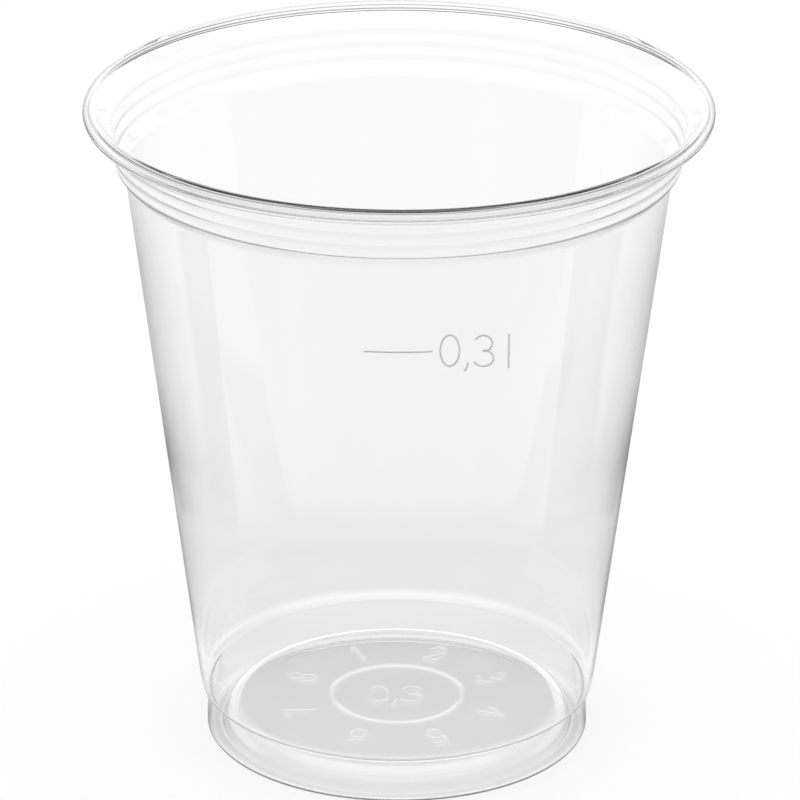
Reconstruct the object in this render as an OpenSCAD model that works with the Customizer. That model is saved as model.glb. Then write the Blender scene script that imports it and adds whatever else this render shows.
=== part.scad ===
// Clear disposable cup, thermoformed in one piece from thin sheet.
// The whole cup is one wall: its mould side is drawn once as a path of corners, from the middle
// of the base out to the cut edge of the hooked rim, and the sheet's thickness is laid on it.
// Millimetres, +Z up, origin at the middle of the ring that the cup stands on.

/* [Rim] */
// Outside diameter of the rim's bead, where a lid presses on
rim_d = 98; // [94:0.5:102]
// Diameter of the bead's round outside
roll_d = 2.5; // [2.4:0.1:3]
// How far round the bead turns before its cut edge, in degrees
roll_turn = 180; // [150:15:195]

/* [Collar] */
// Number of rounded ridges round the collar
ridges = 3; // [2:1:3]
// Height from one ridge to the next
ridge_pitch = 2.1; // [1.8:0.1:2.3]
// How far each ridge stands out from the crease above it
ridge_depth = 0.2; // [0.1:0.05:0.25]
// How far the lowest ridge overhangs the body, which keeps stacked cups apart
overhang = 1.6; // [1.2:0.05:1.9]
// Outside radius of the neck between the ridges and the rim
neck_r = 45.5; // [45.3:0.05:45.7]

/* [Body] */
// Overall height
height = 106; // [96:1:130]
// Outside radius of the body under the collar
body_top_r = 42.6; // [41:0.1:43]
// Outside radius of the body above the step
body_foot_r = 31.5; // [30.8:0.1:34]
// Height of the collar's lower corner below the rim's top
collar_drop = 10.9; // [10.5:0.1:14]

/* [Foot] */
// Outside radius of the foot ring
foot_r = 30.6; // [29:0.1:30.7]
// Height of the step where the foot meets the body
step_z = 7.1; // [5.5:0.1:9]
// Width of the fold that the cup stands on
fold_w = 2.75; // [2.5:0.05:3.5]
// Height of the base panel's underside
panel_z = 3.8; // [3:0.1:5]
// Radius of the panel's rounded shoulder
shoulder_r = 3; // [1.5:0.1:3.2]
// Radius of the raised ring in the middle of the base
ring_r = 10.5; // [6:0.5:16]

/* [Fill line] */
// Height of the mark for a full measure
fill_z = 80.5; // [60:0.5:90]
// Length of the mark round the wall
fill_len = 10.2; // [5:0.1:30]
// Height of the mark's rib
fill_w = 0.45; // [0.3:0.05:0.8]
// How far the rib stands out of the wall
fill_h = 0.18; // [0.1:0.02:0.4]

/* [Sheet] */
// Sheet thickness in the base
base_t = 0.36; // [0.3:0.01:0.5]
// Sheet thickness in the body, where it is drawn thinnest
wall_t = 0.26; // [0.22:0.01:0.4]
// Sheet thickness in the collar and neck
rim_t = 0.34; // [0.3:0.01:0.5]
// Thickness of the bead, where the sheet's gathered edge is curled over
roll_t = 0.8; // [0.6:0.05:0.9]

/* [Hidden] */
$fn = 180;

// Largest turn between two neighbouring points of a round stretch, in degrees
arc_step = 15;

// Thickness of the sheet at a height: thick in the base, thin in the drawn body, thickest in the bead
gauge_table = [[0, base_t], [step_z + 2, base_t], [height * 0.4, wall_t], [height * 0.85, wall_t],
               [height - collar_drop, rim_t], [height - 1.6 * roll_d, rim_t],
               [height - 0.75 * roll_d, roll_t]];
function gauge(z) = lookup(z, gauge_table);

// Bead: centre of its curl, the curl's radius on the mould side, and the angle where it begins
roll_start = 135;
roll_c = [(rim_d - roll_d) / 2, height - roll_d / 2];
roll_r = roll_d / 2 - roll_t;

// Collar: height of its lower corner, its lowest crest, and how crests and creases are rounded
collar_z = height - collar_drop;
first_crest = [body_top_r + overhang, collar_z + 1.85];
crest_flare = 0.5;
ridge_round = 0.43 * ridge_pitch;
crest_rise = 0.52 * ridge_pitch;

// Body: radius of the outside wall at a height
foot_corner_z = step_z + 0.6;
body_slope = (body_top_r - body_foot_r) / (collar_z - foot_corner_z);
function body_r(z) = body_foot_r + body_slope * (z - foot_corner_z);

// Plane geometry
function unit(v) = v / norm(v);
function left_of(v) = [-v.y, v.x];
function polar(centre, radius, angle) = centre + radius * [cos(angle), sin(angle)];

// Points along an arc
function arc(centre, radius, from, to) =
    let (steps = ceil(abs(to - from) / arc_step))
    [for (i = [0:steps]) polar(centre, radius, from + (to - from) * i / steps)];

// A corner b between a and c, rounded by an arc that touches both sides
function rounded(a, b, c, radius) =
    let (
        u = unit(a - b),
        v = unit(c - b),
        half = acos(u * v) / 2,
        centre = b + unit(u + v) * radius / sin(half),
        start = b + u * radius / tan(half) - centre,
        from = atan2(start.y, start.x),
        turn = (180 - 2 * half) * (cross(u, v) > 0 ? -1 : 1)
    )
    arc(centre, radius, from, from + turn);

// A path through corners [x, y, radius]; its first and last points have no radius
function path(corners) =
    let (last = len(corners) - 1, xy = [for (c = corners) [c.x, c.y]])
    [
        xy[0],
        for (i = [1:last - 1]) each rounded(xy[i - 1], xy[i], xy[i + 1], corners[i].z),
        xy[last]
    ];

// The sheet's free side: each point of the mould side moved to its left by the thickness there
function free_side(points) =
    let (last = len(points) - 1)
    [for (i = [0:last])
        let (
            before = left_of(unit(points[max(i, 1)] - points[max(i, 1) - 1])),
            after = left_of(unit(points[min(i, last - 1) + 1] - points[min(i, last - 1)]))
        )
        points[i] + gauge(points[i].y) * (before + after) / (1 + before * after)];

// Base: flat panel with a low raised ring, turned down over its shoulder into the standing fold
ring_w = 0.7;
ring_h = 0.06;
base_corners = [
    [0, panel_z],
    [ring_r - ring_w, panel_z, 4],
    [ring_r, panel_z + ring_h, 4],
    [ring_r + ring_w, panel_z, 4],
    [foot_r - fold_w - 0.4, panel_z, shoulder_r],
    [foot_r - fold_w, 0, 0.8],
    [foot_r, 0, 0.55]
];

// Foot ring, step and the long taper of the body
body_corners = [
    [foot_r - 0.25, step_z, 0.4],
    [body_foot_r, foot_corner_z, 0.9],
    [body_top_r, collar_z, 1.2]
];

// Collar: for each ridge its rounded crest, and the crease above it
collar_corners = [
    for (i = [0:ridges - 1])
        let (crest = first_crest + i * [crest_flare, ridge_pitch])
        each [
            [crest.x, crest.y, ridge_round],
            [crest.x - ridge_depth, crest.y + ridge_pitch - crest_rise, ridge_round]
        ]
];

// Neck: flares out to the point where the curl begins, and meets it as a tangent
roll_entry = polar(roll_c, roll_r, roll_start);
rim_corners = [
    [neck_r, roll_entry.y - (roll_entry.x - neck_r) * tan(roll_start - 90), 1.2],
    [roll_entry.x, roll_entry.y]
];

mould_side = concat(
    path(concat(base_corners, body_corners, collar_corners, rim_corners)),
    arc(roll_c, roll_r, roll_start - arc_step, roll_start - roll_turn)
);

// The wall's section: out along the mould side, and back along the free side
module section() {
    inside = free_side(mould_side);
    polygon(concat(mould_side, [for (i = [len(inside) - 1:-1:0]) inside[i]]));
}

// Raised mark for a full measure, on the front of the wall
module fill_line() {
    span = fill_len / body_r(fill_z) * 180 / PI;
    sunk = wall_t / 2;
    rotate([0, 0, -90 - span / 2])
        rotate_extrude(angle = span)
            polygon([
                [body_r(fill_z - fill_w / 2) - sunk, fill_z - fill_w / 2],
                [body_r(fill_z - fill_w / 2), fill_z - fill_w / 2],
                [body_r(fill_z) + fill_h, fill_z - fill_w / 5],
                [body_r(fill_z) + fill_h, fill_z + fill_w / 5],
                [body_r(fill_z + fill_w / 2), fill_z + fill_w / 2],
                [body_r(fill_z + fill_w / 2) - sunk, fill_z + fill_w / 2]
            ]);
}

module cup() {
    color([0.86, 0.89, 0.91, 0.45]) {
        rotate_extrude() section();
        fill_line();
    }
}

cup();
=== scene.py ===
"""Looks of the clear disposable cup: one smooth thin wall, its raised marks, and a white studio."""
import math

import bmesh
import bpy
import numpy as np
from mathutils import Matrix


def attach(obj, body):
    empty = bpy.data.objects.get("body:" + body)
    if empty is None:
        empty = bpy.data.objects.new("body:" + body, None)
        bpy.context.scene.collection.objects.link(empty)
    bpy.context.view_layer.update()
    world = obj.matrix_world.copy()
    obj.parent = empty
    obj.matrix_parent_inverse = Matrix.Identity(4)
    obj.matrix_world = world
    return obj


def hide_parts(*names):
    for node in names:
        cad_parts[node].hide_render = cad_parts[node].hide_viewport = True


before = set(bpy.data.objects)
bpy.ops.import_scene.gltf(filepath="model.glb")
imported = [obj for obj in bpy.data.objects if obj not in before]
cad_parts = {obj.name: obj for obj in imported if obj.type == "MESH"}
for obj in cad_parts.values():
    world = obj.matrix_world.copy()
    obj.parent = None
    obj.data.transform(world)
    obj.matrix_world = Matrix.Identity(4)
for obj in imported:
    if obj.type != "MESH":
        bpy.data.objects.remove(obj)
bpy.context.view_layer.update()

MM = 0.001

# The cup's section, millimetres, as in the part's source
RIM_R = 49.0
HEIGHT = 106.0
ROLL_D = 2.5
ROLL_START, ROLL_TURN = 135, 180
ROLL_R, ROLL_Z = RIM_R - ROLL_D / 2, HEIGHT - ROLL_D / 2
RIDGES, RIDGE_PITCH, RIDGE_DEPTH = 3, 2.1, 0.2
OVERHANG, CREST_LIFT, CREST_FLARE = 1.6, 1.85, 0.5
CREASE_LIFT = 0.48 * RIDGE_PITCH
NECK_R = 45.5
BODY_TOP_R, BODY_FOOT_R = 42.6, 31.5
COLLAR_Z = HEIGHT - 10.9
STEP_Z = 7.1
BODY_FOOT_Z = STEP_Z + 0.6
FOOT_R, FOOT_SLANT, FOLD_W, SHOULDER_SLANT = 30.6, 0.25, 2.75, 0.4
PANEL_Z = 3.8
BASE_RING_R, BASE_RING_W, BASE_RING_H = 10.5, 0.7, 0.06
BASE_T, WALL_T, RIM_T, ROLL_T = 0.36, 0.26, 0.34, 0.8
BODY_SLOPE = (BODY_TOP_R - BODY_FOOT_R) / (COLLAR_Z - BODY_FOOT_Z)

# Radii of the section's rounded corners
BASE_RING_ROUND, SHOULDER_ROUND, FOLD_IN_ROUND, FOLD_OUT_ROUND = 4.0, 3.0, 0.8, 0.55
STEP_IN_ROUND, STEP_OUT_ROUND, RIDGE_ROUND, CORNER_ROUND = 0.4, 0.9, 0.43 * RIDGE_PITCH, 1.2

# How finely the wall is divided: degrees for round stretches, radii and heights for straight ones
SEGMENTS = 200
ARC_STEP, ROLL_STEP, SHOULDER_STEP, EDGE_STEP = 15.0, 9.0, 6.0, 30.0
LARGE_ROUND = 1.5
SUPPORT = 0.3
CENTRE_STOPS = np.arange(0, 9.6, 1.2)
PANEL_STOPS = np.arange(12.2, 22.5, 1.0)
STEP_ROWS = np.arange(8.9, 10.6, 0.2)
BODY_ROWS = (20, 35, 50, 65)
NUMBER_ROWS = np.arange(74.8, 84.7, 0.9)

# Marks on the wall: fill line and capacity number. SIGHT is the slope of the view along which the
# number is laid on the curved wall.
FILL_Z, FILL_LEN, FILL_W, FILL_H = 80.5, 10.2, 0.42, 0.16
NUMBER_LOW, NUMBER_TALL = 78.3, 5.0
NUMBER_STROKE, NUMBER_H = 0.46, 0.15
NUMBER_SPOTS = (("0", 7.75), (",", 10.25), ("3", 12.95), ("l", 16.65))
SIGHT = 0.4184
WALL_MARGIN, WINDOW_TURN, ROW_SLACK = 1.5, 0.52, 0.1
NUMBER_FROM, NUMBER_TO, FILL_MARGIN, WALL_CUTS = 4.8, 18.6, 0.9, 9

# Marks on the base panel
DIAL = "12345678"
DIAL_R, DIAL_TALL, DIAL_STROKE, DIAL_H = 16.6, 4.4, 0.8, 0.03
DIAL_FIRST, DIAL_PITCH = 112.5, 45.0
CENTRE_TALL, CENTRE_SPOTS = 5.4, (("0", -3.0), (",", -0.4), ("3", 2.4))
PANEL_FLAT_R, FLAT_SLACK, FACE_SLACK = 22.6, 0.02, 0.05
DIAL_HALF, DIAL_HALF_TURN, CENTRE_HALF_X, CENTRE_HALF_Y, BASE_CUTS = 2.9, 6.5, 4.8, 3.6, 2

# Plastic: painted shade on the number, and on the bead, greyest at one angle round its roll
PLASTIC_IOR = 1.5
MARK_PAINTED_SHADE = (0.15, 0.15, 0.15)
BEAD_PAINTED_SHADE, BEAD_SHADE_TURN, BEAD_SHADE_WIDTH = 0.5, 66.0, 20.0

# Painted highlights at the sheet's bends, as emission: strengths, then where each band lies
STEP_HIGHLIGHT, SHOULDER_HIGHLIGHT, FOLD_HIGHLIGHT, CREST_HIGHLIGHT, FIGURE_HIGHLIGHT = 0.06, 0.05, 0.1, 0.01, 0.07
STEP_HIGHLIGHT_Z, STEP_HIGHLIGHT_W = BODY_FOOT_Z + 0.3, 0.6
SHOULDER_HIGHLIGHT_R, SHOULDER_HIGHLIGHT_W = 26.0, 0.9
FOLD_HIGHLIGHT_Z, FOLD_HIGHLIGHT_R = (0.5, 0.2), (FOOT_R - 1.2, FOOT_R - 0.8)
RING_HIGHLIGHT_W = 0.35
CRESTS_LOW, CRESTS_HIGH = COLLAR_Z + 0.3, HEIGHT - 3.4

# Floor: how much of its white is shaded light, and the cup's soft shade behind and under it.
# Where a change runs from one place to another, a pair gives both (squares, for SHADE_UNDER_EDGE).
FLOOR_REACH, FLOOR_SIDES, FLOOR_WHITE, FLOOR_SHADE = 6.0, 64, 1.02, 0.25
SHADE_BEHIND, SHADE_SIDE, SHADE_START, SHADE_END = 0.065, (35.0, 26.0), (20.0, 32.0), (95.0, 60.0)
SHADE_UNDER, SHADE_UNDER_EDGE = 0.012, (29.5 ** 2, 25.0 ** 2)

# The table in reflections: levels, millimetres from the cup's middle, and degrees in front of its side.
# A name with RIGHT is what is added on the right of the cup.
MIDDLE = (-1.0, 1.0)
UNDER_LEVEL, UNDER_BACK, UNDER_BACK_Y, UNDER_EDGE = 0.4, 0.45, (0.0, 15.0), (60.0, 46.0)
NEAR_LEVEL, NEAR_TURN, NEAR_EDGE = 0.57, (-30.0, 40.0), (91.0, 97.0)

BEHIND_LEVEL, BEHIND_RISE, BEHIND_RISE_TURN = 0.56, 0.14, (-45.0, 0.0)
BEHIND_DIP, BEHIND_DIP_REACH = 0.26, (150.0, 112.0)
BEHIND_LIFT, BEHIND_LIFT_TURN, BEHIND_LIFT_REACH = 0.25, (-38.0, -48.0), (115.0, 95.0)
FAR_LEVEL, FAR_REACH = 0.85, (200.0, 300.0)

STRIP_BACK, STRIP_BACK_RIGHT, STRIP_BACK_SOFT = 6.7, 2.4, (-3.0, 3.0)
STRIP_SPREAD, STRIP_SPREAD_REACH = 7.0, (135.0, 235.0)
STRIP_START, STRIP_END, STRIP_END_REACH = 0.28, 0.2, (150.0, 175.0)
STRIP_FADE, STRIP_FADE_RIGHT = 12.0, 10.0
STRIP_FAR, STRIP_FAR_REACH = 0.6, (210.0, 245.0)
STRIP_FRONT, STRIP_FRONT_RIGHT, STRIP_FRONT_SLANT, STRIP_FRONT_SOFT = 24.0, 2.0, 0.156, (-1.5, 1.5)

FIRST_LIGHT, FIRST_LIGHT_NEAR, FIRST_LIGHT_REACH = 0.57, 0.342, (85.0, 165.0)
FIRST_DARK, FIRST_DARK_REACH = 0.33, (75.0, 165.0)
FIRST_TURN, FIRST_TURN_RIGHT, FIRST_FADE = 10.0, 9.0, (0.0, 30.0)
SECOND_LIGHT, SECOND_LIGHT_REACH = 0.5, (65.0, 165.0)
SECOND_DARK, SECOND_DARK_REACH = 0.27, (60.0, 165.0)
SECOND_TURN, SECOND_TURN_RIGHT, SECOND_FADE, SECOND_SOFT = 44.0, 6.0, (0.0, 20.0), (-1.2, 1.2)
FRONT_LOSS, FRONT_LOSS_REACH = 0.5, (200.0, 350.0)

# The studio above the table in reflections: levels, and where each begins, by parts of a unit direction
BACKDROP, ROOM, ROOM_SIDE = 0.3, 0.6, (0.35, 0.75)
HORIZON, HORIZON_Z, HORIZON_Y = 1.3, (0.42, 0.39), (0.0, 0.3)
CEILING, CEILING_LEAN, CEILING_EDGE = 1.3, 0.35, (0.62, 0.8)

# Camera, millimetres and pixels of an 800 pixel frame
CAMERA_Y, CAMERA_Z, PITCH = -860.0, 415.25, 0.396
FOCAL_PX, FRAME_PX, SENSOR = 5897.0, 800, 36.0
ROLL, AXIS_PX = 0.0035, 398.0


def unit(v):
    """The same direction, one long."""
    return v / np.linalg.norm(v)


def arc(centre, radius, start, end, step=ARC_STEP):
    """Points on a circle from one angle to the other: centre plus radius times cosine and sine."""
    t = np.radians(np.linspace(start, end, int(np.ceil(abs(end - start) / step)) + 1))
    return np.stack([centre[0] + radius * np.cos(t), centre[1] + radius * np.sin(t)], 1)


def rounded(a, b, c, radius):
    """The corner b between a and c as an arc that touches both sides."""
    u, v = unit(a - b), unit(c - b)
    half = math.acos(float(u @ v)) / 2
    centre = b + unit(u + v) * radius / math.sin(half)
    first = b + u * radius / math.tan(half) - centre
    start = math.degrees(math.atan2(first[1], first[0]))
    turn = (180 - 2 * math.degrees(half)) * (-1 if u[0] * v[1] - u[1] * v[0] > 0 else 1)
    return arc(centre, radius, start, start + turn, SHOULDER_STEP if radius > LARGE_ROUND else ARC_STEP)


def joined(stretches):
    """Stretches in a row. A long straight gap gets a point close to each end, which keeps it flat."""
    out = [stretches[0]]
    for nxt in stretches[1:]:
        gap = nxt[0] - out[-1][-1]
        if np.linalg.norm(gap) > 3 * SUPPORT:
            out.append(np.stack([out[-1][-1] + unit(gap) * SUPPORT, nxt[0] - unit(gap) * SUPPORT]))
        out.append(nxt)
    return np.vstack(out)


def flat(stops):
    """Points on the underside of the base panel at the given radii."""
    return np.stack([stops, np.full(len(stops), PANEL_Z)], 1)


def mould_side():
    """The cup's outside from the middle of the base to the rim's cut edge: rounded corners, then the roll."""
    roll_c = np.array([ROLL_R, ROLL_Z])
    roll_r = ROLL_D / 2 - ROLL_T
    entry = arc(roll_c, roll_r, ROLL_START, ROLL_START)[0]
    neck_z = entry[1] - (entry[0] - NECK_R) * math.tan(math.radians(ROLL_START - 90))
    corners = [
        (BASE_RING_R - BASE_RING_W, PANEL_Z, BASE_RING_ROUND),
        (BASE_RING_R, PANEL_Z + BASE_RING_H, BASE_RING_ROUND),
        (BASE_RING_R + BASE_RING_W, PANEL_Z, BASE_RING_ROUND),
        (FOOT_R - FOLD_W - SHOULDER_SLANT, PANEL_Z, SHOULDER_ROUND),
        (FOOT_R - FOLD_W, 0, FOLD_IN_ROUND),
        (FOOT_R, 0, FOLD_OUT_ROUND),
        (FOOT_R - FOOT_SLANT, STEP_Z, STEP_IN_ROUND),
        (BODY_FOOT_R, BODY_FOOT_Z, STEP_OUT_ROUND),
        (BODY_TOP_R, COLLAR_Z, CORNER_ROUND),
    ]
    for i in range(RIDGES):
        crest = (BODY_TOP_R + OVERHANG + i * CREST_FLARE, COLLAR_Z + CREST_LIFT + i * RIDGE_PITCH)
        corners.append((crest[0], crest[1], RIDGE_ROUND))
        corners.append((crest[0] - RIDGE_DEPTH, crest[1] + CREASE_LIFT, RIDGE_ROUND))
    corners.append((NECK_R, neck_z, CORNER_ROUND))
    ends = np.array([(0, PANEL_Z)] + [c[:2] for c in corners] + [tuple(entry)], float)
    bends = [rounded(ends[i], ends[i + 1], ends[i + 2], c[2]) for i, c in enumerate(corners)]
    rows = np.sort(np.concatenate([STEP_ROWS, NUMBER_ROWS, [FILL_Z - FILL_W, FILL_Z + FILL_W], BODY_ROWS]))
    wall = np.stack([body_r(rows), rows], 1)
    roll = arc(roll_c, roll_r, ROLL_START - ROLL_STEP, ROLL_START - ROLL_TURN, ROLL_STEP)
    ring, foot, collar = bends[:3], bends[3:8], bends[8:]
    return joined([flat(CENTRE_STOPS), *ring, flat(PANEL_STOPS), *foot, wall, *collar,
                   np.vstack([entry, roll])])


def body_r(z):
    """Radius of the body's outside at a height: a straight line from foot to collar."""
    return BODY_FOOT_R + BODY_SLOPE * (z - BODY_FOOT_Z)


def gauge(z):
    """Sheet thickness at a height: thick in the base, thin in the drawn body, thickest in the bead."""
    heights = [0, STEP_Z + 2, HEIGHT * 0.4, HEIGHT * 0.85,
               COLLAR_Z, HEIGHT - 1.6 * ROLL_D, HEIGHT - 0.75 * ROLL_D]
    return np.interp(z, heights, [BASE_T, BASE_T, WALL_T, WALL_T, RIM_T, RIM_T, ROLL_T])


def free_side(points):
    """The sheet's other face: each point moved along the mean normal by the thickness there."""
    along = np.diff(points, axis=0)
    along /= np.linalg.norm(along, axis=1)[:, None]
    left = np.stack([-along[:, 1], along[:, 0]], 1)
    before, after = np.vstack([left[:1], left]), np.vstack([left, left[-1:]])
    return points + gauge(points[:, 1])[:, None] * (before + after) / (1 + (before * after).sum(1))[:, None]


def rounded_edge(outside, inside):
    """The cut edge of the sheet as a half circle between the ends of its two faces."""
    middle, across = (outside + inside) / 2, (outside - inside) / 2
    start = math.degrees(math.atan2(across[1], across[0]))
    return arc(middle, np.linalg.norm(across), start, start - 180, EDGE_STEP)[1:-1]


def lathe(section, segments):
    """Vertices and quads of a section turned round the Z axis, which its two ends lie on."""
    angle = np.linspace(0, 2 * np.pi, segments, endpoint=False)
    r, z = section[:, 0][:, None], section[:, 1][:, None]
    points = np.stack([r * np.cos(angle), r * np.sin(angle), z + 0 * angle], -1).reshape(-1, 3)
    i, j = np.meshgrid(np.arange(len(section) - 1), np.arange(segments), indexing="ij")
    k = (j + 1) % segments
    quads = np.stack([i * segments + j, i * segments + k, (i + 1) * segments + k, (i + 1) * segments + j], -1)
    return points, quads.reshape(-1, 4)


def line(*points):
    """A stroke of straight stretches."""
    return np.array(points, float)


def bow(x, y, rx, ry, start, end, count=18):
    """Part of an ellipse."""
    t = np.radians(np.linspace(start, end, count))
    return np.stack([x + rx * np.cos(t), y + ry * np.sin(t)], 1)


# Plain figures as strokes in a box that is 1 high, with its lower middle at the origin
FIGURES = {
    "0": [bow(0, 0.5, 0.29, 0.5, 0, 360, 32)],
    "1": [line((-0.16, 0.8), (0.04, 1), (0.04, 0))],
    "2": [np.vstack([bow(0, 0.72, 0.27, 0.28, 170, -40), line((-0.28, 0), (0.29, 0))])],
    "3": [bow(-0.03, 0.745, 0.27, 0.255, 150, -90), bow(-0.03, 0.26, 0.31, 0.26, 90, -150)],
    "4": [line((0.12, 0), (0.12, 1), (-0.3, 0.3), (0.3, 0.3))],
    "5": [np.vstack([line((0.25, 1), (-0.2, 1), (-0.24, 0.58)), bow(-0.03, 0.32, 0.3, 0.32, 125, -140)])],
    "6": [bow(0, 0.3, 0.28, 0.3, 0, 360, 24), bow(0.28, 0.32, 0.56, 0.68, 180, 100)],
    "7": [line((-0.27, 1), (0.28, 1), (-0.08, 0))],
    "8": [bow(0, 0.75, 0.24, 0.25, 0, 360, 24), bow(0, 0.26, 0.29, 0.26, 0, 360, 24)],
    ",": [line((0.04, 0.1), (0.03, -0.02), (-0.05, -0.16))],
    "l": [line((0, -0.04), (0, 1.04))],
}


def stroke_height(x, y, strokes, width, tall):
    """Height of rounded ribs along strokes: a smooth hump of the distance to the nearest stroke."""
    nearest = np.full(x.shape, np.inf)
    for points in strokes:
        for a, b in zip(points[:-1], points[1:]):
            d = b - a
            t = np.clip(((x - a[0]) * d[0] + (y - a[1]) * d[1]) / (d @ d), 0, 1)
            nearest = np.minimum(nearest, np.hypot(x - a[0] - t * d[0], y - a[1] - t * d[1]))
    s = np.clip(1 - 2 * nearest / width, 0, 1)
    return tall * s * s * (3 - 2 * s)


def placed(figure, x, y, tall):
    """A figure's strokes, as high as tall, with its lower middle at x, y."""
    return [points * tall + np.array([x, y]) for points in FIGURES[figure]]


def wall_strokes():
    """The capacity number beside the fill line, figure by figure."""
    strokes = []
    for figure, along in NUMBER_SPOTS:
        strokes += placed(figure, along, NUMBER_LOW, NUMBER_TALL)
    return strokes


def dial_strokes():
    """Plain numbers round the base, upright as seen from the middle, and the capacity in the middle."""
    strokes = []
    for i, figure in enumerate(DIAL):
        turn = math.radians(DIAL_FIRST - DIAL_PITCH * i) - math.pi / 2
        spin = np.array([[math.cos(turn), math.sin(turn)], [-math.sin(turn), math.cos(turn)]])
        for points in placed(figure, 0, DIAL_R - DIAL_TALL / 2, DIAL_TALL):
            strokes.append(points @ spin)
    for figure, x in CENTRE_SPOTS:
        strokes += placed(figure, x, -CENTRE_TALL / 2, CENTRE_TALL)
    return strokes


def refine(mesh, wanted, cuts):
    """Divides the faces that wanted() picks by their centre, so that fine relief can be pressed in them."""
    work = bmesh.new()
    work.from_mesh(mesh)
    faces = [f for f in work.faces if wanted(f.calc_center_median())]
    edges = list({e for f in faces for e in f.edges})
    bmesh.ops.subdivide_edges(work, edges=edges, cuts=cuts, use_grid_fill=True)
    work.to_mesh(mesh)
    work.free()


def press_marks(mesh):
    """Moves the wall's outside outwards, and the top of the base upwards, by the marks' height."""
    points = np.empty(len(mesh.vertices) * 3)
    mesh.vertices.foreach_get("co", points)
    points = points.reshape(-1, 3)
    r = np.maximum(np.hypot(points[:, 0], points[:, 1]), 1e-6)
    turn, z = np.arctan2(points[:, 0], -points[:, 1]), points[:, 2]

    wall = (z > BODY_FOOT_Z + WALL_MARGIN) & (z < COLLAR_Z - WALL_MARGIN) & (r > body_r(z) - WALL_T / 2)
    window = wall & (np.abs(turn) < WINDOW_TURN)
    window &= (z > NUMBER_ROWS[0] - ROW_SLACK) & (z < NUMBER_ROWS[-1] + ROW_SLACK)
    around, up = turn[window] * body_r(FILL_Z), z[window]
    fill_line = line((-FILL_LEN / 2, FILL_Z), (FILL_LEN / 2, FILL_Z))
    fill = stroke_height(around, up, [fill_line], FILL_W, FILL_H)
    seen = up + SIGHT * (points[window, 1] + body_r(FILL_Z))
    number = stroke_height(points[window, 0], seen, wall_strokes(), NUMBER_STROKE, NUMBER_H)
    lift = np.maximum(fill, number)
    points[window, 0] = (body_r(up) + lift) * np.sin(turn[window])
    points[window, 1] = -(body_r(up) + lift) * np.cos(turn[window])
    # Painted shade: the fill line and number are greyed in step with their height.
    mark = np.zeros(len(points))
    mark[window] = lift / NUMBER_H
    # Painted shade on the bead as well.
    mark += bead_painted_shade(r, z)

    top = (r < PANEL_FLAT_R) & (np.abs(z - PANEL_Z - BASE_T) < FLAT_SLACK)
    figures = stroke_height(points[top, 0], points[top, 1], dial_strokes(), DIAL_STROKE, DIAL_H)
    # Painted highlights at the bends, and on the base's figures in step with their height.
    painted_light = painted_bend_highlights(r, z)
    points[top, 2] += figures
    painted_light[top] += FIGURE_HIGHLIGHT * figures / DIAL_H

    mesh.vertices.foreach_set("co", points.ravel())
    mesh.attributes.new("mark", "FLOAT", "POINT").data.foreach_set("value", np.clip(mark, 0, 1))
    mesh.attributes.new("painted_light", "FLOAT", "POINT").data.foreach_set("value", painted_light)
    mesh.shade_smooth()
    mesh.update()
    smooth_cone(mesh, points, r, wall & (mark == 0))


def smooth_cone(mesh, points, r, bare):
    """Gives the bare wall the cone's own normals: (x / r, y / r, -slope), made one long."""
    normals = np.empty(len(points) * 3)
    mesh.vertex_normals.foreach_get("vector", normals)
    normals = normals.reshape(-1, 3)
    down = np.full(bare.sum(), -BODY_SLOPE)
    cone = np.stack([points[bare, 0] / r[bare], points[bare, 1] / r[bare], down], 1)
    normals[bare] = cone / math.hypot(1, BODY_SLOPE)
    mesh.normals_split_custom_set_from_vertices(normals)


def band(value, middle, width):
    """A soft band: a bell curve of the distance from its middle."""
    return np.exp(-((value - middle) / width) ** 2)


def slope(value, low, high):
    """A straight slope from 0 at low to 1 at high; low may be the larger."""
    return np.clip((value - low) / (high - low), 0, 1)


def bead_painted_shade(r, z):
    """Painted shade on the bead's gathered sheet: a soft grey band by the angle round the roll."""
    angle = np.degrees(np.arctan2(z - ROLL_Z, r - ROLL_R))
    return BEAD_PAINTED_SHADE * band(angle, BEAD_SHADE_TURN, BEAD_SHADE_WIDTH) * (z > ROLL_Z)


def painted_bend_highlights(r, z):
    """Painted highlights at tight bends, given as emission: soft bands by radius and height."""
    step = STEP_HIGHLIGHT * band(z, STEP_HIGHLIGHT_Z, STEP_HIGHLIGHT_W)
    shoulder = SHOULDER_HIGHLIGHT * band(r, SHOULDER_HIGHLIGHT_R, SHOULDER_HIGHLIGHT_W) * (z > PANEL_Z / 2)
    fold = FOLD_HIGHLIGHT * slope(z, *FOLD_HIGHLIGHT_Z) * slope(r, *FOLD_HIGHLIGHT_R)
    ring = FIGURE_HIGHLIGHT * band(r, BASE_RING_R, RING_HIGHLIGHT_W)
    crests = CREST_HIGHLIGHT * np.cos(np.pi * (z - COLLAR_Z - CREST_LIFT) / RIDGE_PITCH) ** 2
    return step + shoulder + fold + ring + crests * (z > CRESTS_LOW) * (z < CRESTS_HIGH)


def in_wall_marks(c):
    """Whether a place on the wall's outside lies in the number's window or along the fill line."""
    along = math.atan2(c.x, -c.y) * body_r(FILL_Z)
    if math.hypot(c.x, c.y) < body_r(c.z) - WALL_T / 2:
        return False
    number = NUMBER_FROM < along < NUMBER_TO and NUMBER_ROWS[0] < c.z < NUMBER_ROWS[-1]
    return number or (abs(along) < FILL_LEN / 2 + FILL_MARGIN and abs(c.z - FILL_Z) < FILL_W)


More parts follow.
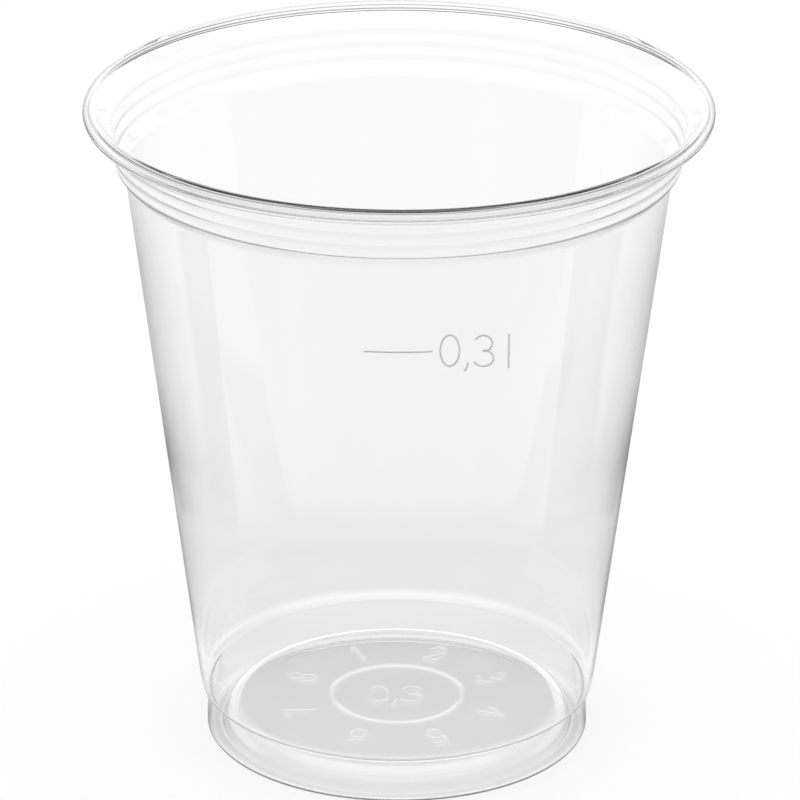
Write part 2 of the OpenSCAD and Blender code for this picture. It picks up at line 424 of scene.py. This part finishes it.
def in_base_marks(c):
    """Whether a place on top of the base lies under one of the dial's figures or in the middle."""
    if abs(c.z - PANEL_Z - BASE_T) > FACE_SLACK:
        return False
    sector = (math.degrees(math.atan2(c.y, c.x)) - DIAL_FIRST) % DIAL_PITCH
    off = min(sector, DIAL_PITCH - sector)
    dial = abs(math.hypot(c.x, c.y) - DIAL_R) < DIAL_HALF and off < DIAL_HALF_TURN
    return dial or (abs(c.x) < CENTRE_HALF_X and abs(c.y) < CENTRE_HALF_Y)


def make_cup():
    """The whole cup as one closed wall: its section turned round, with the marks pressed in."""
    outside = mould_side()
    inside = free_side(outside)
    section = np.vstack([outside, rounded_edge(outside[-1], inside[-1]), inside[::-1]])
    points, quads = lathe(section, SEGMENTS)
    mesh = bpy.data.meshes.new("cup_wall")
    mesh.from_pydata(points, [], quads)
    work = bmesh.new()
    work.from_mesh(mesh)
    bmesh.ops.remove_doubles(work, verts=work.verts, dist=1e-5)
    bmesh.ops.recalc_face_normals(work, faces=work.faces)
    work.to_mesh(mesh)
    work.free()
    refine(mesh, in_wall_marks, WALL_CUTS)
    refine(mesh, in_base_marks, BASE_CUTS)
    press_marks(mesh)
    mesh.transform(Matrix.Diagonal((MM, MM, MM, 1)))
    piece = bpy.data.objects.new("cup_wall", mesh)
    bpy.context.collection.objects.link(piece)
    return piece


class Value:
    """A number socket in an expression. Each operator adds the Math node that works it out."""

    def __init__(self, nodes, socket):
        self.nodes, self.socket = nodes, socket

    def math(self, operation, *others):
        made = self.nodes.add("Math", {"operation": operation}, self, *others)
        return Value(self.nodes, made.outputs[0])

    def __add__(self, other):
        return self.math("ADD", other)

    def __radd__(self, other):
        return self.math("ADD", other)

    def __sub__(self, other):
        return self.math("SUBTRACT", other)

    def __rsub__(self, other):
        return (-self) + other

    def __neg__(self):
        return self.math("MULTIPLY", -1.0)

    def __mul__(self, other):
        return self.math("MULTIPLY", other)

    def __rmul__(self, other):
        return self.math("MULTIPLY", other)

    def __truediv__(self, other):
        return self.math("DIVIDE", other)

    def __abs__(self):
        return self.math("ABSOLUTE")

    def least(self, other):
        return self.math("MINIMUM", other)

    def most(self, other):
        return self.math("MAXIMUM", other)

    def slide(self, low, high):
        """Straight slope: 0 below low, 1 above high; the other way round where low is the larger."""
        made = self.nodes.add("MapRange", {"interpolation_type": "LINEAR"}, self, low, high)
        return Value(self.nodes, made.outputs[0])

    def ramp(self, low, high):
        """Smooth step: 0 below low, 1 above high; the other way round where low is the larger."""
        made = self.nodes.add("MapRange", {"interpolation_type": "SMOOTHSTEP"}, self, low, high)
        return Value(self.nodes, made.outputs[0])


class Nodes:
    """The node tree of a material or world, emptied."""

    def __init__(self, owner):
        owner.use_nodes = True
        self.tree = owner.node_tree
        self.tree.nodes.clear()

    def add(self, kind, settings, *ordered, **named):
        """Adds a node: first its settings, then its sockets, by order or by name."""
        made = self.tree.nodes.new("ShaderNode" + kind)
        for name, value in settings.items():
            setattr(made, name, value)
        pairs = list(zip(made.inputs, ordered))
        pairs += [(made.inputs[name.replace("_", " ")], value) for name, value in named.items()]
        for socket, value in pairs:
            if isinstance(value, Value):
                self.tree.links.new(value.socket, socket)
            elif isinstance(value, bpy.types.NodeSocket):
                self.tree.links.new(value, socket)
            else:
                socket.default_value = value
        return made

    def value(self, made, output):
        return Value(self, made.outputs[output])

    def finish(self, kind, shader):
        self.add("Output" + kind, {}, Surface=shader.outputs[0])


def light_paths(nodes):
    """How a ray came: straight (through clear walls at most), mirrored by a surface, or scattered by one."""
    path = nodes.add("LightPath", {})
    scattered = nodes.value(path, "Diffuse Depth").least(1.0)
    mirrored = nodes.value(path, "Glossy Depth").least(1.0) * (1.0 - scattered)
    straight = 1.0 - scattered.most(mirrored)
    return straight, mirrored


def clear_plastic():
    """Clear glossy sheet. Painted shade greys the number, and the bead a little, and painted highlights at
    tight bends are given as emission.
    """
    material = bpy.data.materials.new("clear_plastic")
    nodes = Nodes(material)
    # Painted shade, read from the mesh, greys the base colour.
    mark = nodes.value(nodes.add("Attribute", {"attribute_name": "mark"}), "Fac")
    painted_shade_colour = nodes.add("Mix", {"data_type": "RGBA"}, Factor=mark)
    painted_shade_colour.inputs[6].default_value = (1, 1, 1, 1)
    painted_shade_colour.inputs[7].default_value = (*MARK_PAINTED_SHADE, 1)
    # Painted highlights, read from the mesh, given as emission colour.
    painted_light = nodes.value(nodes.add("Attribute", {"attribute_name": "painted_light"}), "Fac")
    painted_highlight_colour = nodes.add("CombineColor", {}, painted_light, painted_light, painted_light)
    shader = nodes.add("BsdfPrincipled", {}, Base_Color=painted_shade_colour.outputs[2], Roughness=0.0, IOR=PLASTIC_IOR,
                       Transmission_Weight=1.0, Emission_Color=painted_highlight_colour.outputs[0], Emission_Strength=1.0)
    nodes.finish("Material", shader)
    return material


def make_floor():
    """A white floor that keeps soft shade. Mirrored in the plastic it is a dimmer studio table."""
    mesh = bpy.data.meshes.new("floor")
    turn = np.linspace(0, 2 * np.pi, FLOOR_SIDES, endpoint=False)
    ring = np.stack([FLOOR_REACH * np.cos(turn), FLOOR_REACH * np.sin(turn), 0 * turn], 1)
    mesh.from_pydata(ring, [], [list(range(len(ring)))])
    floor = bpy.data.objects.new("floor", mesh)
    bpy.context.collection.objects.link(floor)
    material = bpy.data.materials.new("floor_white")
    nodes = Nodes(material)
    straight, mirrored = light_paths(nodes)
    level = straight * (FLOOR_WHITE - FLOOR_SHADE - cup_shade(nodes)) + mirrored * table_level(nodes)
    shade = (1.0 - mirrored) * FLOOR_SHADE
    grey = nodes.add("CombineColor", {}, shade, shade, shade)
    matt = nodes.add("BsdfDiffuse", {}, Color=grey.outputs[0])
    painted_light = nodes.add("Emission", {}, Strength=level)
    nodes.finish("Material", nodes.add("AddShader", {}, matt.outputs[0], painted_light.outputs[0]))
    floor.data.materials.append(material)


def floor_place(nodes):
    """Place on the floor, in millimetres from the cup's middle: x to the right and y to the back."""
    place = nodes.add("SeparateXYZ", {}, nodes.add("NewGeometry", {}).outputs["Position"])
    return [nodes.value(place, axis) * (1 / MM) for axis in "XY"]


def cup_shade(nodes):
    """The cup's soft shade on the floor under it and just behind it, seen through the wall."""
    x, y = floor_place(nodes)
    behind = SHADE_BEHIND * abs(x).ramp(*SHADE_SIDE) * y.ramp(*SHADE_START) * y.ramp(*SHADE_END)
    return behind + SHADE_UNDER * (x * x + y * y).ramp(*SHADE_UNDER_EDGE)


def between(a, b, share):
    """From a at share 0 to b at share 1."""
    return a + (b - a) * share


def table_level(nodes):
    """Brightness of the table in reflections, by distance from the cup and by angle from its side.

    Beside the cup lies a dark strip. In front of it the table fades in two steps, behind it is bright,
    and close to the cup it is even. Angles grow towards the front."""
    x, y = floor_place(nodes)
    away = (x * x + y * y).math("SQRT")
    turn = (-y).math("ARCTAN2", abs(x)) * (180 / math.pi)
    right = x.ramp(*MIDDLE)

    past_back = turn + STRIP_BACK + right * STRIP_BACK_RIGHT + STRIP_SPREAD * away.slide(*STRIP_SPREAD_REACH)
    past_front = -y - STRIP_FRONT - right * (STRIP_FRONT_SLANT * abs(x) - STRIP_FRONT_RIGHT)
    far = between(table_behind(away, turn, past_back), table_strip(away, right, past_back),
                  past_back.ramp(*STRIP_BACK_SOFT))
    far = between(far, table_front(away, turn, right), past_front.ramp(*STRIP_FRONT_SOFT))
    under = UNDER_LEVEL + UNDER_BACK * y.ramp(*UNDER_BACK_Y)
    near = between(NEAR_LEVEL * (1.0 - turn.ramp(*NEAR_TURN)), under, away.ramp(*UNDER_EDGE))
    return between(near, far, away.ramp(*NEAR_EDGE))


def table_front(away, turn, right):
    """In front of the strip: two stretches side by side, each lighter where it begins."""
    first_light = between(FIRST_LIGHT_NEAR, FIRST_LIGHT, away.slide(*FIRST_LIGHT_REACH))
    first_dark = FIRST_DARK * away.slide(*FIRST_DARK_REACH)
    past_first = turn - FIRST_TURN - right * FIRST_TURN_RIGHT
    first = between(first_light, first_dark, past_first.slide(*FIRST_FADE))
    second_light = SECOND_LIGHT * away.slide(*SECOND_LIGHT_REACH)
    second_dark = SECOND_DARK * away.slide(*SECOND_DARK_REACH)
    past_second = turn - SECOND_TURN + right * SECOND_TURN_RIGHT
    second = between(second_light, second_dark, past_second.slide(*SECOND_FADE))
    front = between(first, second, past_second.ramp(*SECOND_SOFT))
    return front * (1.0 - FRONT_LOSS * away.ramp(*FRONT_LOSS_REACH))


def table_strip(away, right, past_back):
    """The dark strip: darker towards its front, and lighter far away."""
    end = STRIP_END * away.slide(*STRIP_END_REACH)
    across = (past_back / (STRIP_FADE + right * STRIP_FADE_RIGHT)).slide(0.0, 1.0)
    return between(between(STRIP_START, end, across), STRIP_FAR, away.ramp(*STRIP_FAR_REACH))


def table_behind(away, turn, past_back):
    """Behind the strip: rising towards it, with a dip near the cup that ends straight behind it."""
    behind = BEHIND_LEVEL + BEHIND_RISE * past_back.slide(*BEHIND_RISE_TURN)
    behind = behind - BEHIND_DIP * away.slide(*BEHIND_DIP_REACH)
    behind = behind + BEHIND_LIFT * turn.ramp(*BEHIND_LIFT_TURN) * away.slide(*BEHIND_LIFT_REACH)
    return between(behind, FAR_LEVEL, away.ramp(*FAR_REACH))


def sky_level(nodes):
    """Brightness of the studio above the table in reflections.

    It is dim behind, lighter to the sides, and bright low down behind and overhead."""
    way = nodes.add("SeparateXYZ", {}, nodes.add("TexCoord", {}).outputs["Generated"])
    x, y, z = (nodes.value(way, axis) for axis in "XYZ")
    wall = between(BACKDROP, ROOM, abs(x).ramp(*ROOM_SIDE))
    wall = between(wall, HORIZON, z.ramp(*HORIZON_Z) * y.ramp(*HORIZON_Y))
    return between(wall, CEILING, (z - CEILING_LEAN * y).ramp(*CEILING_EDGE))


def make_world():
    """White for straight looks and for lighting the floor; in reflections, the studio."""
    world = bpy.data.worlds.new("studio")
    bpy.context.scene.world = world
    nodes = Nodes(world)
    straight, mirrored = light_paths(nodes)
    level = 1.0 + mirrored * (sky_level(nodes) - 1.0)
    nodes.finish("World", nodes.add("Background", {}, Color=(1, 1, 1, 1), Strength=level))


def make_camera():
    """The photograph's camera, looking down on the cup from the front."""
    data = bpy.data.cameras.new("camera")
    data.sensor_width = SENSOR
    data.lens = FOCAL_PX / FRAME_PX * SENSOR
    data.shift_x = (FRAME_PX / 2 - AXIS_PX) / FRAME_PX
    data.clip_start, data.clip_end = 0.05, 20
    camera = bpy.data.objects.new("camera", data)
    bpy.context.collection.objects.link(camera)
    aim = Matrix.Rotation(math.pi / 2 - PITCH, 4, "X") @ Matrix.Rotation(ROLL, 4, "Z")
    camera.matrix_world = Matrix.Translation((0, CAMERA_Y * MM, CAMERA_Z * MM)) @ aim
    bpy.context.scene.camera = camera


cup = make_cup()
cup.data.materials.append(clear_plastic())
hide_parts("cup")
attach(cup, "root")
make_floor()
make_world()
make_camera()
scene = bpy.context.scene
scene.view_settings.view_transform = "Standard"
scene.cycles.max_bounces = 24
scene.cycles.transmission_bounces = 24
scene.cycles.glossy_bounces = 12
